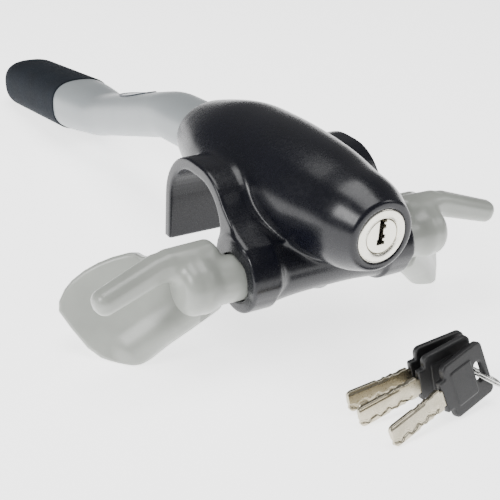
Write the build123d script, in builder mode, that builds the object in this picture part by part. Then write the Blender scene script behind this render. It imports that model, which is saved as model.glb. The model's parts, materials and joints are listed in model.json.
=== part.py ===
from build123d import *
import os
from math import cos, pi, radians, sin, sqrt, tan

# Steering-wheel lock. The rim of the steering wheel lies in the channel under the casting,
# two claws on a cross shaft close round it, and the long bar stops the wheel from turning.
# Origin: centre of the rim seat, the flat at the top of the channel.
# +X runs along the channel, +Y towards the hand grip, +Z up from the table it lies on.

os.makedirs("parts", exist_ok=True)

# ---------------------------------------------------------------- driving dimensions, in mm
casting_width = 78.0            # across the channel's two open ends
channel_gap = 41.4              # front wall to rear wall, for a leather rim
channel_corner = 17.3           # radius between each wall and the rim seat
seat_wall = 5.6                 # metal over the rim seat, at the open ends
rear_wall = 5.2                 # the channel's rear leg
rear_leg_drop = 37.9            # rim seat to the foot of the rear leg
table_drop = 65.6               # rim seat to the table

pivot_to_wall = 13.6            # claw shaft to the channel's front wall
pivot_drop = 29.6               # rim seat down to the claw shaft
boss_radius = 14.9
boss_length = 12.0
waist_radius = 12.2             # the barrel between its two bosses

axis_drop = 2.9                 # rim seat down to the axis of the head and its lock
nose_reach = 39.0               # claw shaft forward to the lock face
nose_radius = 14.1
shoulder_radius = 21.2          # head's half width over the lock's rear end
crown_radius = 27.2             # head's half width over the rim channel
tail_radius = 18.2              # head's half width where the bar comes out
tail_reach = 56.0               # rim seat back to the end of the head
tail_flatness = 0.79            # height over width at the tail; the nose is round
tail_axis_fall = 2.1            # the head's middle line falls this much from nose to tail

shaft_radius = 5.0
stub_radius = 9.45              # the claw's round root, in the boss
stub_clearance = 0.45
stub_depth = 6.0                # how far the root goes into the boss
barrel_bore = 8.5
bush_length = 9.0
running_clearance = 0.05
free_gap = 0.4                  # between parts that move past each other
shaft_overhang = 17.0           # boss face to the shaft's end
claw_pin_reach = 13.0           # boss face to the claw's cross pin
collar_pin_radius = 1.5
handle_pin_radius = 2.5
handle_pin_rise = 8.0
handle_pin_y = 42.0
grub_radius = 2.0
grub_length = 5.4
grub_y = -64.3
hub_radius = 12.0

collar_radius = 8.0
collar_length = 12.0
bolt_radius = 4.5
bolt_engagement = 2.2           # tongue in the collar's notch when it is locked
bolt_tongue = 2.4               # thickness of the tongue
bolt_tongue_length = 4.0
bolt_rise = 6.3                 # lock axis up to the bolt's top
bolt_hole_radius = 4.9
notch_side_gap = 0.5
bolt_spring_length = 5.0
plug_radius = 5.6

lock_face_radius = 11.05
lock_flange = 2.4
lock_body_radius = 10.4
lock_length = 30.0
core_radius = 7.0
keyway_height = 10.3
keyway_width = 2.7
cam_radius = 5.2
cam_thickness = 2.0
drive_pin_radius = 1.2
pin_count = 5
pin_pitch = 4.4
pin_radius = 1.0
clip_thickness = 0.9
spring_wire = 0.8

finger_width = 10.4
finger_reach = 58.5             # boss face to the centre of the finger's tip
finger_bend = 29.0              # boss face to the finger's bend
ear_gap = 6.0                   # boss face to the end of the finger's ear
neck_reach = 8.0                # boss face to the end of the round root
bulge_reach = 19.0              # boss face to the hub's widest place
plate_reach = 31.0              # boss face to the plate's upper corner
plate_thickness = 8.0
claw_bulge = 12.4
claw_pin_radius = 2.0

bar_width = 27.5
bar_height = 22.4
rear_bar_width = 35.9
rear_bar_height = 28.5
bar_corner = 0.45               # corner radius as a share of the height
root_drop = 1.4                 # lock axis down to the bar's root
root_slope = 4.6                # degrees down, out of the head
first_bend = 92.4               # where the bar turns down, along Y
first_slope = 18.2              # degrees down, between the bends
second_bend = 172.7             # where it turns back towards level
bar_end = 305.3
grip_start = 209.0
grip_wall = 3.6
cap_length = 18.7
cap_sag = 0.35                  # how far the cap's belly hangs below its first section
badge_length = 34.0
badge_width = 15.0
badge_depth = 0.9

key_blade_length = 30.5
key_blade_width = 8.4
key_blade_thickness = 2.0
key_head_length = 22.2
key_head_width = 22.4
key_head_thickness = 2.8
key_neck_length = 4.0
key_tang_length = 12.0
key_hole_length = 9.0
key_hole_width = 5.4
key_hole_inset = 5.0
key_cuts = (1.1, 0.6, 1.4)
key_cut_pitch = 3.6
key_track_wave = 0.9
key_track_depth = 0.5
key_head_corner = 2.6
key_collar_length = 3.0
key_collar_width = 13.0
key_panel_rise = 0.3
ring_radius = 11.43
ring_wire = 1.0                 # half the section of the split ring
ring_centre = (34.955, -100.038, -58.18)
ring_reach = (0.8344, -0.0698, -0.5467)
ring_normal = (0.5511, 0.1057, 0.8277)

# ---------------------------------------------------------------- places
pivot_y = -(channel_gap / 2 + pivot_to_wall)
nose_y = pivot_y - nose_reach
lock_z = -axis_drop
table_z = -table_drop
half_width = casting_width / 2
shaft_reach = half_width + shaft_overhang
claw_pin_x = half_width + claw_pin_reach
rear_outer_y = channel_gap / 2 + rear_wall
lock_rear_y = nose_y + lock_length
pivot = Vector(0, pivot_y, -pivot_drop)

# The drive pin goes from 45 degrees above the core's centre line to 45 below in a quarter turn.
bolt_rest_z = -pivot_drop + collar_radius + free_gap
bolt_travel = free_gap + bolt_engagement
drive_offset = bolt_travel / sqrt(2)
bolt_top_z = lock_z + bolt_rise
pocket_z = bolt_top_z + 0.3 + bolt_spring_length


def across(x):
    """Plane square to the channel at x, with local x along +Y and local y along +Z."""
    return Plane(origin=(x, 0, 0), x_dir=(0, 1, 0), z_dir=(1, 0, 0))


def along(y, z=0.0):
    """Plane square to the head's axis at y, with local x along +X and local y along +Z."""
    return Plane(origin=(0, y, z), x_dir=(1, 0, 0), z_dir=(0, -1, 0))


def save(piece, name):
    """Label one finished piece and write it."""
    piece.label = name
    export_step(piece, f"parts/{name}.step")


# ---------------------------------------------------------------- handle bar
# Centre line in the middle plane: down at two slopes, then nearly level, so that the end of
# the grip lies on the table.
bar_start = rear_outer_y + 3.0
root_z = lock_z - root_drop
bend_z = root_z - (first_bend - bar_start) * tan(radians(root_slope))
knee_z = bend_z - (second_bend - first_bend) * tan(radians(first_slope))
rest_z = table_z + rear_bar_height / 2 + cap_sag
end_z = knee_z + (rest_z - knee_z) * (bar_end - second_bend) / (bar_end - cap_length - second_bend)
with BuildLine(Plane.YZ) as bar_path:
    FilletPolyline(
        (bar_start, root_z), (first_bend, bend_z), (second_bend, knee_z), (bar_end, end_z), radius=50
    )
bar_line = bar_path.wires()[0]


def bar_plane(y):
    """Plane square to the bar's centre line where the line passes y."""
    share = (y - bar_start) / (bar_end - bar_start)
    for _ in range(12):
        share += (y - (bar_line @ share).Y) / (bar_end - bar_start)
    return Plane(origin=bar_line @ share, x_dir=(1, 0, 0), z_dir=bar_line % share)


def bar_section(plane, width, height):
    """One flattened oval of the bar."""
    with BuildSketch(plane) as outline:
        RectangleRounded(width, height, height * bar_corner)
    return outline.sketch


grip_plane = bar_plane(grip_start)
cap_plane = bar_plane(bar_end - cap_length)
end_plane = bar_plane(bar_end)
root_plane = Plane(origin=(0, bar_start, root_z), x_dir=(1, 0, 0), z_dir=bar_line % 0)
root_length = tail_reach + 4 - bar_start
bar_stations = [
    (first_bend - 14, bar_width, bar_height),
    (first_bend + 14, bar_width, bar_height),
    (second_bend - 14, bar_width + 0.6, bar_height + 0.4),
    (second_bend + 12, (bar_width + rear_bar_width) / 2 - 0.5, (bar_height + rear_bar_height) / 2 - 0.3),
    (grip_start, rear_bar_width, rear_bar_height),
]
with BuildPart() as handle_bar:
    # Straight tenon in the head, then the bent bar
    with BuildSketch(root_plane):
        RectangleRounded(bar_width, bar_height, bar_height * bar_corner)
    extrude(amount=root_length)
    add(bar_section(root_plane.offset(root_length), bar_width, bar_height))
    for station in bar_stations:
        add(bar_section(bar_plane(station[0]), station[1], station[2]))
    loft()
    # The core inside the grip
    with BuildSketch(grip_plane):
        RectangleRounded(
            rear_bar_width - 2 * grip_wall,
            rear_bar_height - 2 * grip_wall,
            (rear_bar_height - 2 * grip_wall) * bar_corner,
        )
    core_length = (cap_plane.origin - grip_plane.origin).length
    extrude(amount=core_length)

badge_plane = bar_plane((first_bend + second_bend) / 2)
upward = badge_plane.y_dir * (1 if badge_plane.y_dir.Z > 0 else -1)
badge_face = Plane(
    origin=badge_plane.origin + upward * (bar_height / 2 - badge_depth + 0.05),
    x_dir=badge_plane.z_dir,
    z_dir=upward,
)
with BuildPart() as badge_pocket:
    with BuildSketch(badge_face):
        Ellipse(badge_length / 2, badge_width / 2)
    extrude(amount=badge_depth * 4)
with BuildPart() as oval_badge:
    with BuildSketch(badge_face):
        Ellipse(badge_length / 2, badge_width / 2)
    extrude(amount=badge_depth)

with BuildPart() as grip_sleeve:
    with BuildSketch(grip_plane):
        RectangleRounded(rear_bar_width, rear_bar_height, rear_bar_height * bar_corner)
        RectangleRounded(
            rear_bar_width - 2 * grip_wall,
            rear_bar_height - 2 * grip_wall,
            (rear_bar_height - 2 * grip_wall) * bar_corner,
            mode=Mode.SUBTRACT,
        )
    extrude(amount=core_length)

with BuildPart() as grip_cap:
    for share, scale in ((0.0, 1.0), (0.4, 0.96), (0.75, 0.79), (0.94, 0.5), (1.0, 0.24)):
        with BuildSketch(grip_plane.offset(core_length + cap_length * share)):
            RectangleRounded(
                rear_bar_width * scale, rear_bar_height * scale, rear_bar_height * scale * bar_corner
            )
    loft()

# ---------------------------------------------------------------- casting
head_stations = [
    (nose_y, nose_radius),
    (nose_y + 10, nose_radius + 4.4),
    (nose_y + 25, shoulder_radius),
    (pivot_y, (shoulder_radius + crown_radius) / 2),
    (nose_y + 59, crown_radius - 1.0),
    (nose_y + 81, crown_radius),
    (tail_reach - 28.3, crown_radius - 0.7),
    (tail_reach - 12.3, (crown_radius + tail_radius) / 2 - 0.2),
    (tail_reach, tail_radius),
]
outer_corner = channel_corner + seat_wall
corner_y = channel_gap / 2 - channel_corner
with BuildPart() as casting:
    # Saddle: a bent strap over the rim, thickened in front into the barrel for the shaft
    with BuildSketch(across(-half_width)):
        with BuildLine():
            foot = (rear_outer_y, -rear_leg_drop)
            Polyline((channel_gap / 2, -rear_leg_drop), foot, (rear_outer_y, -outer_corner + seat_wall + 2))
            rear_top = (corner_y, seat_wall)
            front_top = (-corner_y, seat_wall)
            TangentArc(
                (rear_outer_y, -outer_corner + seat_wall + 2), rear_top, tangent=(0, 1)
            )
            Line(rear_top, front_top)
            lean = radians(40)
            brow = (-corner_y - outer_corner * cos(lean), seat_wall - outer_corner * (1 - sin(lean)))
            TangentArc(front_top, brow, tangent=(-1, 0))
            boss_angle = radians(112)
            cheek = (pivot_y + boss_radius * cos(boss_angle), -pivot_drop + boss_radius * sin(boss_angle))
            Spline(brow, cheek, tangents=((-sin(lean), -cos(lean)), (-sin(boss_angle), cos(boss_angle))))
            heel_y = -channel_gap / 2
            heel_z = -pivot_drop - sqrt(boss_radius**2 - pivot_to_wall**2)
            Polyline(cheek, (pivot_y, -pivot_drop), (pivot_y + waist_radius, -pivot_drop), (heel_y, -pivot_drop))
            Line((heel_y, -pivot_drop), (heel_y, -channel_corner))
            TangentArc((heel_y, -channel_corner), (-corner_y, 0), tangent=(0, 1))
            Line((-corner_y, 0), (corner_y, 0))
            TangentArc((corner_y, 0), (channel_gap / 2, -channel_corner), tangent=(1, 0))
            Line((channel_gap / 2, -channel_corner), (channel_gap / 2, -rear_leg_drop))
        make_face()
    extrude(amount=casting_width)
    # Barrel between the bosses
    with BuildSketch(Plane.XY.offset(-pivot_drop)):
        with BuildLine():
            inner = half_width - boss_length
            Polyline(
                (-inner, pivot_y + boss_radius - 1.2),
                (-half_width, pivot_y + boss_radius - 1.2),
                (-half_width, pivot_y),
                (half_width, pivot_y),
                (half_width, pivot_y + boss_radius - 1.2),
                (inner, pivot_y + boss_radius - 1.2),
            )
            ThreePointArc(
                (inner, pivot_y + boss_radius - 1.2),
                (0, pivot_y + waist_radius),
                (-inner, pivot_y + boss_radius - 1.2),
            )
        make_face()
    revolve(axis=Axis((0, pivot_y, -pivot_drop), (1, 0, 0)))
    for side in (-1, 1):
        with BuildSketch(across(side * (half_width - boss_length / 2))):
            with Locations((pivot_y, -pivot_drop)):
                Circle(boss_radius)
        extrude(amount=boss_length / 2, both=True)
    # Head: a long rounded body over the channel, round at the lock, flatter at the bar
    for y, half_width_here in head_stations:
        share = (y - nose_y) / (tail_reach - nose_y)
        with BuildSketch(along(y, lock_z - tail_axis_fall * share)):
            Ellipse(half_width_here, half_width_here * (1 - (1 - tail_flatness) * share))
    loft()
    # The channel stays open under the head
    with BuildSketch(across(-half_width - 1)):
        with BuildLine():
            Polyline(
                (-corner_y, 0), (corner_y, 0)
            )
            TangentArc((corner_y, 0), (channel_gap / 2, -channel_corner), tangent=(1, 0))
            Polyline(
                (channel_gap / 2, -channel_corner),
                (channel_gap / 2, -rear_leg_drop - 1),
                (heel_y, -rear_leg_drop - 1),
                (heel_y, -channel_corner),
            )
            TangentArc((heel_y, -channel_corner), (-corner_y, 0), tangent=(0, 1))
        make_face()
    extrude(amount=casting_width + 2, mode=Mode.SUBTRACT)

    # Bore for the shaft, wider where the claws' round roots go in
    with BuildSketch(across(-half_width - 1)):
        with Locations((pivot_y, -pivot_drop)):
            Circle(barrel_bore)
    extrude(amount=casting_width + 2, mode=Mode.SUBTRACT)
    for side in (-1, 1):
        with BuildSketch(across(side * (half_width + 1))):
            with Locations((pivot_y, -pivot_drop)):
                Circle(stub_radius + stub_clearance)
        extrude(amount=-side * (stub_depth + free_gap + 1), mode=Mode.SUBTRACT)
    # Stepped bore for the lock, and the chamber its cam turns in
    for radius, start, end in (
        (lock_face_radius, nose_y - 1, nose_y + lock_flange),
        (lock_body_radius, nose_y, lock_rear_y),
        (lock_body_radius - 1.8, lock_rear_y, lock_rear_y + 1.9),
        (cam_radius + 0.8, lock_rear_y, pivot_y),
    ):
        with BuildSketch(along(start, lock_z)):
            Circle(radius)
        extrude(amount=start - end, mode=Mode.SUBTRACT)
    # Upright hole for the bolt and its spring, open below for assembly
    with BuildSketch(Plane.XY.offset(-pivot_drop)):
        with Locations((0, pivot_y)):
            Circle(bolt_hole_radius)
    extrude(amount=pocket_z + pivot_drop, mode=Mode.SUBTRACT)
    with BuildSketch(Plane.XY.offset(-pivot_drop)):
        with Locations((0, pivot_y)):
            Circle(plug_radius)
    extrude(amount=-waist_radius - 3, mode=Mode.SUBTRACT)
    # Socket for the bar, its pin hole, and the lock's grub screw hole
    with BuildSketch(root_plane):
        RectangleRounded(bar_width, bar_height, bar_height * bar_corner)
    extrude(amount=root_length, mode=Mode.SUBTRACT)
    with BuildSketch(Plane.XY.offset(lock_z)):
        with Locations((0, handle_pin_y)):
            Circle(handle_pin_radius)
        with Locations((0, grub_y)):
            Circle(grub_radius)
    extrude(amount=-40, mode=Mode.SUBTRACT)

save(casting.part, "casting")

# ---------------------------------------------------------------- bar, grip and badge
with BuildPart() as handle_finished:
    add(handle_bar.part)
    add(badge_pocket.part, mode=Mode.SUBTRACT)
    with BuildSketch(Plane.XY.offset(lock_z + handle_pin_rise)):
        with Locations((0, handle_pin_y)):
            Circle(handle_pin_radius)
    extrude(amount=-60, mode=Mode.SUBTRACT)
save(handle_finished.part, "handle_bar")
save(oval_badge.part, "oval_badge")
save(grip_sleeve.part, "grip_sleeve")
save(grip_cap.part, "grip_end_cap")

with BuildPart() as handle_pin:
    with BuildSketch(Plane.XY.offset(lock_z + handle_pin_rise)):
        with Locations((0, handle_pin_y)):
            Circle(handle_pin_radius)
    extrude(amount=-(handle_pin_rise + tail_radius * tail_flatness + 4.5))
save(handle_pin.part, "handle_pin")

# ---------------------------------------------------------------- shaft, bushes and collar
with BuildPart() as pivot_shaft:
    with BuildSketch(across(-shaft_reach)):
        with Locations((pivot_y, -pivot_drop)):
            Circle(shaft_radius)
    extrude(amount=2 * shaft_reach)
    for side in (-1, 1):
        with BuildSketch(Plane.XY.offset(-pivot_drop - 30)):
            with Locations((side * claw_pin_x, pivot_y)):
                Circle(claw_pin_radius)
        extrude(amount=60, mode=Mode.SUBTRACT)
    with BuildSketch(Plane.XZ.offset(-pivot_y - 30)):
        with Locations((collar_length / 4, -pivot_drop)):
            Circle(collar_pin_radius)
    extrude(amount=60, mode=Mode.SUBTRACT)
save(pivot_shaft.part, "pivot_shaft")

for side, side_name in ((-1, "left"), (1, "right")):
    outer = half_width - stub_depth - free_gap
    with BuildPart() as bush:
        with BuildSketch(across(side * outer)):
            with Locations((pivot_y, -pivot_drop)):
                Circle(barrel_bore)
                Circle(shaft_radius + running_clearance, mode=Mode.SUBTRACT)
        extrude(amount=-side * bush_length)
    save(bush.part, f"bush_{side_name}")
    with BuildPart() as claw_pin:
        with BuildSketch(Plane.XY.offset(-pivot_drop + shaft_radius - 0.4)):
            with Locations((side * claw_pin_x, pivot_y)):
                Circle(claw_pin_radius)
        extrude(amount=-(shaft_radius + hub_radius - 1.4))
    save(claw_pin.part, f"claw_pin_{side_name}")

with BuildPart() as locking_collar:
    with BuildSketch(across(-collar_length / 2)):
        with Locations((pivot_y, -pivot_drop)):
            Circle(collar_radius)
            Circle(shaft_radius, mode=Mode.SUBTRACT)
        notch_floor = collar_radius - bolt_engagement - free_gap
        with Locations((pivot_y, -pivot_drop + notch_floor + 5)):
            Rectangle(bolt_tongue + 2 * notch_side_gap, 10, mode=Mode.SUBTRACT)
    extrude(amount=collar_length)
    with BuildSketch(Plane.XZ.offset(-pivot_y - 30)):
        with Locations((collar_length / 4, -pivot_drop)):
            Circle(collar_pin_radius)
    extrude(amount=60, mode=Mode.SUBTRACT)
save(locking_collar.part, "locking_collar")

with BuildPart() as collar_pin:
    with BuildSketch(Plane.XZ.offset(-pivot_y - collar_radius + 0.3)):
        with Locations((collar_length / 4, -pivot_drop)):
            Circle(collar_pin_radius)
    extrude(amount=2 * collar_radius - 0.6)
save(collar_pin.part, "collar_pin")

# ---------------------------------------------------------------- bolt, its spring and the plug below
with BuildPart() as locking_bolt:
    with BuildSketch(Plane.XY.offset(bolt_rest_z)):
        with Locations((0, pivot_y)):
            Circle(bolt_radius)
    extrude(amount=bolt_top_z - bolt_rest_z)
    for side in (-1, 1):
        with BuildSketch(Plane.XY.offset(bolt_rest_z)):
            with Locations((0, pivot_y + side * (bolt_tongue / 2 + bolt_radius))):
                Rectangle(4 * bolt_radius, 2 * bolt_radius)
        extrude(amount=bolt_tongue_length, mode=Mode.SUBTRACT)
    # Slot the drive pin turns in
    with BuildSketch(Plane.XY.offset(lock_z + bolt_travel / 2 - drive_pin_radius - free_gap)):
        with Locations((0, pivot_y - bolt_radius - 0.5)):
            Rectangle(4 * bolt_radius, 2 * bolt_radius)
    extrude(amount=2 * (drive_pin_radius + free_gap), mode=Mode.SUBTRACT)
save(locking_bolt.part, "locking_bolt")

with BuildPart() as bolt_spring:
    with BuildLine():
        coil = Helix(
            pitch=(bolt_spring_length - spring_wire) / 3,
            height=bolt_spring_length - spring_wire,
            radius=bolt_radius - spring_wire,
            center=(0, pivot_y, bolt_top_z + 0.3 + spring_wire / 2),
        )
    with BuildSketch(Plane(origin=coil @ 0, z_dir=coil % 0)):
        Circle(spring_wire / 2)
    sweep(is_frenet=True)
save(bolt_spring.part, "bolt_spring")

with BuildPart() as chamber_plug:
    with BuildSketch(Plane.XY.offset(-pivot_drop - barrel_bore)):
        with Locations((0, pivot_y)):
            Circle(plug_radius)
    extrude(amount=-(waist_radius - barrel_bore - 0.5))
    with BuildSketch(Plane.XY.offset(-pivot_drop - waist_radius + 0.5)):
        with Locations((0, pivot_y)):
            RegularPolygon(2.6, 6)
    extrude(amount=1.6, mode=Mode.SUBTRACT)
save(chamber_plug.part, "chamber_plug")

# ---------------------------------------------------------------- lock cylinder
pin_y = [nose_y + 7.5 + pin_pitch * i for i in range(pin_count)]
keyway_low = core_radius - keyway_height
with BuildPart() as cylinder_body:
    with BuildSketch(along(nose_y, lock_z)):
        Circle(lock_face_radius)
    extrude(amount=-lock_flange)
    with BuildSketch(along(nose_y, lock_z)):
        Circle(lock_body_radius)
    extrude(amount=-lock_length)
    with BuildSketch(along(nose_y - 1, lock_z)):
        Circle(core_radius + running_clearance)
    extrude(amount=-lock_length - 2, mode=Mode.SUBTRACT)
    with BuildSketch(Plane.XY.offset(lock_z)):
        with Locations([(0, y) for y in pin_y]):
            Circle(pin_radius)
    extrude(amount=-lock_body_radius - 1, mode=Mode.SUBTRACT)
save(cylinder_body.part, "cylinder_body")

clip_y = lock_rear_y + free_gap
cam_y = lock_rear_y + 1.7
with BuildPart() as core_plug:
    with BuildSketch(along(nose_y + 0.2, lock_z)):
        Circle(core_radius)
    extrude(amount=-(lock_length + 1.5))
    with BuildSketch(along(clip_y, lock_z)):
        Circle(core_radius + 1)
        Circle(core_radius - 0.8, mode=Mode.SUBTRACT)
    extrude(amount=-clip_thickness, mode=Mode.SUBTRACT)
    with BuildSketch(along(nose_y - 1, lock_z)):
        with Locations((0, (core_radius + keyway_low + 1) / 2)):
            Rectangle(keyway_width, keyway_height + 1)
        # Two ribs make the keyway's bent outline
        with Locations((-keyway_width / 2, keyway_low + keyway_height * 0.62)):
            Rectangle(1.8, 1.5, mode=Mode.SUBTRACT)
        with Locations((keyway_width / 2, keyway_low + keyway_height * 0.3)):
            Rectangle(1.8, 1.5, mode=Mode.SUBTRACT)
    extrude(amount=-lock_length + 1, mode=Mode.SUBTRACT)
    with BuildSketch(Plane.XY.offset(lock_z + keyway_low)):
        with Locations([(0, y) for y in pin_y]):
            Circle(pin_radius)
    extrude(amount=-core_radius, mode=Mode.SUBTRACT)
save(core_plug.part, "core_plug")

with BuildPart() as key_pins:
    with BuildSketch(Plane.XY.offset(lock_z - core_radius + 0.15)):
        with Locations([(0, y) for y in pin_y]):
            Circle(pin_radius)
    extrude(amount=core_radius + keyway_low - 0.15)
save(key_pins.part, "key_pins")

with BuildPart() as driver_pins:
    with BuildSketch(Plane.XY.offset(lock_z - core_radius - free_gap)):
        with Locations([(0, y) for y in pin_y]):
            Circle(pin_radius)
    extrude(amount=-1.3)
save(driver_pins.part, "driver_pins")

with BuildPart() as pin_springs:
    with BuildSketch(Plane.XY.offset(lock_z - core_radius - free_gap - 1.3)):
        with Locations([(0, y) for y in pin_y]):
            Circle(pin_radius - 0.1)
            Circle(pin_radius - 0.4, mode=Mode.SUBTRACT)
    extrude(amount=-(lock_body_radius - core_radius - free_gap - 1.3 - 0.2))
save(pin_springs.part, "pin_springs")

with BuildPart() as core_circlip:
    with BuildSketch(along(clip_y, lock_z)):
        Circle(core_radius + 1.0)
        Circle(core_radius - 0.8, mode=Mode.SUBTRACT)
        with Locations((0, -core_radius)):
            Rectangle(4.5, 4.5, mode=Mode.SUBTRACT)
    extrude(amount=-clip_thickness)
save(core_circlip.part, "core_circlip")

with BuildPart() as cam:
    with BuildSketch(along(cam_y, lock_z)):
        Circle(cam_radius)
    extrude(amount=-cam_thickness)
    with BuildSketch(along(cam_y, lock_z)):
        with Locations((bolt_travel / 2, bolt_travel / 2)):
            Circle(drive_pin_radius)
    extrude(amount=-(pivot_y - 1.0 - cam_y))
save(cam.part, "cam")

with BuildPart() as grub_screw:
    with BuildSketch(Plane.XY.offset(lock_z - lock_body_radius)):
        with Locations((0, grub_y)):
            Circle(grub_radius)
    extrude(amount=-grub_length)
    with BuildSketch(Plane.XY.offset(lock_z - lock_body_radius - grub_length)):
        with Locations((0, grub_y)):
            RegularPolygon(1.1, 6)
    extrude(amount=2, mode=Mode.SUBTRACT)
save(grub_screw.part, "cylinder_grub_screw")

# ---------------------------------------------------------------- claws
# Each is one casting: a round root, a hub over the shaft, a finger that reaches round the front
# of the rim, and a plate that closes behind it. The left one is built, the right one mirrored.
plate_normal = Vector(-0.624, -0.681, 0.384)
plate_corner = pivot + Vector(-half_width - plate_reach, 25.5, 5.2)
plate_plane = Plane(origin=plate_corner, x_dir=(-0.737, 0.676, 0), z_dir=plate_normal)
plate_foot = (plate_corner.Z - table_z) / -plate_plane.y_dir.Z
plate_outline = [(-2, -1), (31, 24.6), (19.6, 34.1), (-1.5, plate_foot + 3), (-36, 14.5), (-37, 5), (-13.5, 1)]
finger_path = [
    pivot + Vector(-half_width - ear_gap, 6.0, 9.6),
    pivot + Vector(-half_width - finger_bend, 6.0, 8.9),
    pivot + Vector(-half_width - finger_reach, 1.5, 0.7),
]
with BuildPart() as claw:
    with BuildSketch(Plane.XY.offset(-pivot_drop)):
        with BuildLine():
            root_x = -(half_width - stub_depth)
            neck_x = -half_width - neck_reach
            bulge_x = -half_width - bulge_reach
            tip_x = bulge_x - 9.0
            Polyline(
                (root_x, pivot_y),
                (root_x, pivot_y + stub_radius),
                (neck_x, pivot_y + stub_radius),
            )
            Spline(
                (neck_x, pivot_y + stub_radius),
                (bulge_x + 3, pivot_y + claw_bulge),
                (bulge_x - 3, pivot_y + claw_bulge - 1.2),
                (tip_x, pivot_y + 3),
            )
            Polyline((tip_x, pivot_y + 3), (tip_x, pivot_y), (root_x, pivot_y))
        make_face()
    revolve(axis=Axis((0, pivot_y, -pivot_drop), (1, 0, 0)))
    # Plate
    with BuildSketch(plate_plane):
        Polygon(*plate_outline, align=None)
    extrude(amount=-plate_thickness)
    # Finger
    with BuildLine() as finger_line:
        FilletPolyline(*finger_path, radius=14)
    with BuildSketch(Plane(origin=finger_path[0], x_dir=(0, 1, 0), z_dir=(-1, 0, 0))):
        RectangleRounded(finger_width, finger_width, 3.2)
    sweep()
    # Flat foot on the table
    with BuildSketch(Plane.XY.offset(table_z)):
        with Locations((-half_width - 35, pivot_y)):
            Rectangle(150, 150)
    extrude(amount=-30, mode=Mode.SUBTRACT)
    # Hole for the shaft's end and for the cross pin
    with BuildSketch(across(root_x + 1)):
        with Locations((pivot_y, -pivot_drop)):
            Circle(shaft_radius)
    extrude(amount=-(shaft_reach + root_x + 1.3), mode=Mode.SUBTRACT)
    with BuildSketch(Plane.XY.offset(-pivot_drop)):
        with Locations((-claw_pin_x, pivot_y)):
            Circle(claw_pin_radius)
    extrude(amount=-20, mode=Mode.SUBTRACT)
save(claw.part, "claw_left")
save(mirror(claw.part, about=Plane.YZ), "claw_right")

# ---------------------------------------------------------------- keys
# The blade's middle line is local x, away from the head; local z is its thickness.
blade_half = key_blade_width / 2
track_start = key_neck_length + 2.5
with BuildPart() as key_blade:
    with BuildSketch():
        with BuildLine():
            Polyline(
                (-key_tang_length, -blade_half + 1),
                (key_neck_length, -blade_half + 1),
                (key_neck_length + 0.6, -blade_half),
                (key_blade_length - 1.2, -blade_half),
                (key_blade_length, -blade_half + 0.9),
                (key_blade_length, blade_half - 0.9),
                (key_blade_length - 1.2, blade_half),
                (key_neck_length + 0.6, blade_half),
                (key_neck_length, blade_half - 1),
                (-key_tang_length, blade_half - 1),
                (-key_tang_length, -blade_half + 1),
            )
        make_face()
        # Notches in both edges, near the head
        for number, depth in enumerate(key_cuts):
            for side in (-1, 1):
                with Locations((track_start + 2.4 + number * key_cut_pitch, side * (blade_half + 1.5 - depth))):
                    Trapezoid(3.0 + depth * 0.4, 3.0, 66, rotation=90 + 90 * side, mode=Mode.SUBTRACT)
    extrude(amount=key_blade_thickness / 2, both=True)
    # Wavy track milled in both faces, open to the lower edge
    for side in (-1, 1):
        with BuildSketch(Plane.XY.offset(side * key_blade_thickness / 2)):
            with BuildLine():
                wave = [
                    (
                        track_start + (key_blade_length + 1 - track_start) * i / 12,
                        -0.9 + key_track_wave * sin(2 * pi * 2.3 * i / 12),
                    )
                    for i in range(13)
                ]
                Spline(*wave)
                Polyline(wave[-1], (wave[-1][0], -blade_half - 1), (track_start, -blade_half - 1), wave[0])
            make_face()
        extrude(amount=-side * key_track_depth, mode=Mode.SUBTRACT)
hole_x = -key_head_length + key_hole_inset
with BuildPart() as key_head:
    with BuildSketch():
        with Locations((-key_head_length / 2, 0)):
            RectangleRounded(key_head_length, key_head_width, key_head_corner)
        with Locations((0, 0)):
            RectangleRounded(2 * key_collar_length, key_collar_width, 1)
    extrude(amount=key_head_thickness / 2, both=True)
    # Plain raised panel on both faces, then the hole for the ring
    with BuildSketch():
        with Locations((-key_head_length / 2 + 2.6, 0)):
            RectangleRounded(key_head_length * 0.5, key_head_width * 0.62, 1)
    extrude(amount=key_head_thickness / 2 + key_panel_rise, both=True)
    with BuildSketch():
        with Locations((hole_x, 0)):
            SlotOverall(key_hole_length, key_hole_width, rotation=90)
    extrude(amount=key_head_thickness, both=True, mode=Mode.SUBTRACT)
    with BuildSketch():
        with Locations((0, 0)):
            Rectangle(2 * key_tang_length, key_blade_width - 2)
    extrude(amount=key_blade_thickness / 2, both=True, mode=Mode.SUBTRACT)

key_planes = [
    Plane(origin=(8.8, -92.4, -55.2), x_dir=(-0.980, 0.098, -0.173), z_dir=(0.128, 0.976, -0.175)),
    Plane(origin=(7.9, -98.2, -55.4), x_dir=(-0.974, 0.0175, -0.224), z_dir=(0.041, 0.994, -0.106)),
    Plane(origin=(10.8, -107.9, -55.2), x_dir=(-0.964, -0.162, -0.213), z_dir=(-0.083, 0.937, -0.341)),
]
for number, key_plane in enumerate(key_planes, start=1):
    blade = key_blade.part.moved(key_plane.location)
    head_piece = key_head.part.moved(key_plane.location)
    low = min(blade.bounding_box().min.Z, head_piece.bounding_box().min.Z)
    lift = Location((0, 0, table_z - low))
    save(blade.moved(lift), f"key_blade_{number}")
    save(head_piece.moved(lift), f"key_head_{number}")

ring_plane = Plane(origin=ring_centre, x_dir=ring_reach, z_dir=ring_normal)
with BuildPart() as split_ring:
    with BuildSketch(Plane(origin=ring_plane.origin + ring_plane.x_dir * ring_radius, x_dir=ring_plane.x_dir, z_dir=ring_plane.y_dir)):
        Circle(ring_wire)
    revolve(axis=Axis(ring_plane.origin, ring_plane.z_dir))
save(split_ring.part, "split_ring")
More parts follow.
